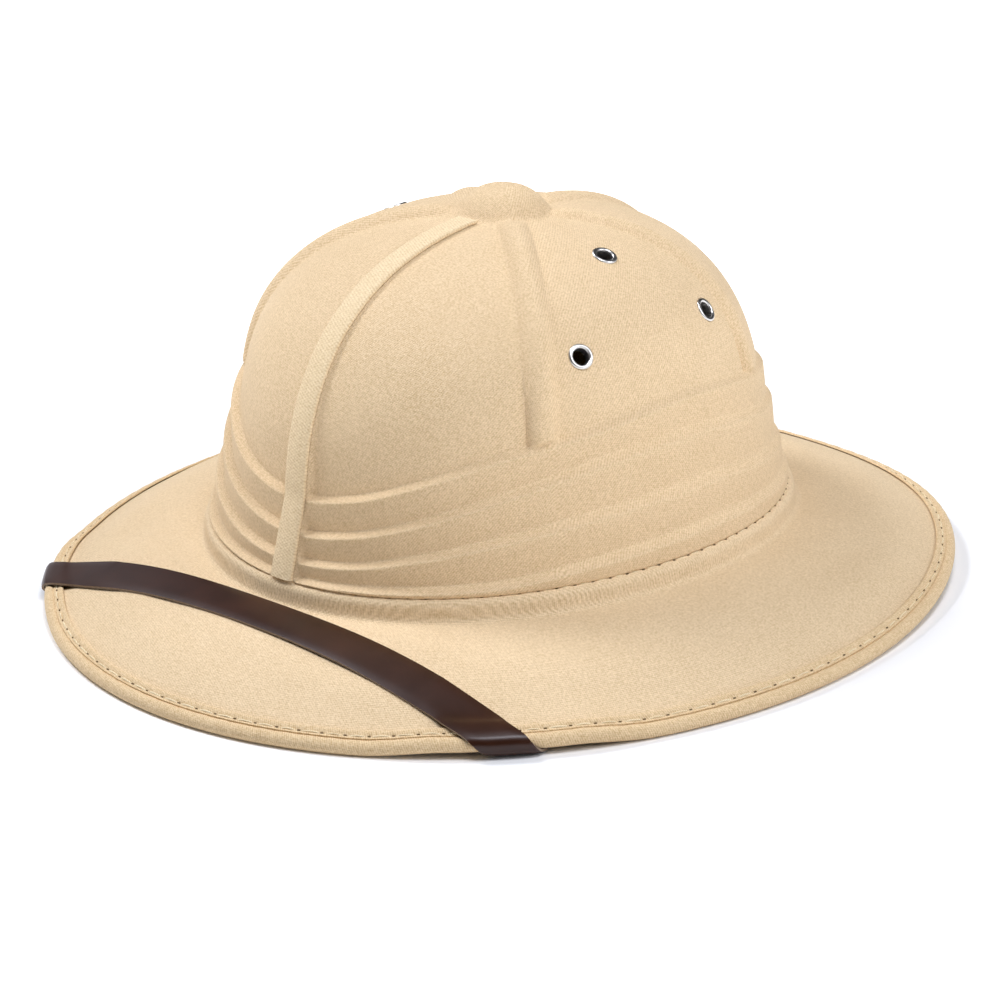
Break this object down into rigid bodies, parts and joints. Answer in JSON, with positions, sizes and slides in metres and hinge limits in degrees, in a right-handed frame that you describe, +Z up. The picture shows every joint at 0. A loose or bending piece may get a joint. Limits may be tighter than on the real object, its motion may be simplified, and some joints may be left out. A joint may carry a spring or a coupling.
{
  "type": "pith helmet",
  "caption": "Beige cloth-covered pith helmet with a ribbed dome, lapped pleats, metal eyelets, a bound sloping brim and a brown chin strap over the front of the brim.",
  "frame": {"origin": "centre of the hat's footprint, on the plane that the rim rests on", "axes": "+Z up through the crown, -Y towards the front of the hat, +X towards the wearer's left"},
  "size_m": [0.3, 0.3236, 0.1322],
  "materials": {
    "crown_cloth": "matt beige twill",
    "brim_cloth": "matt beige twill",
    "binding_cloth": "matt beige twill",
    "tape_cloth": "matt beige woven tape",
    "strap_leather": "semi-gloss dark brown",
    "eyelet_metal": "bright nickel plate"
  },
  "bodies": {
    "root": {"crown": "crown_cloth", "brim": "brim_cloth", "edge_binding": "binding_cloth", "front_tape": "tape_cloth", "chin_strap": "strap_leather", "eyelet_left_upper": "eyelet_metal", "eyelet_left_front": "eyelet_metal", "eyelet_left_back": "eyelet_metal", "eyelet_right_upper": "eyelet_metal", "eyelet_right_front": "eyelet_metal", "eyelet_right_back": "eyelet_metal"}
  },
  "joints": []
}
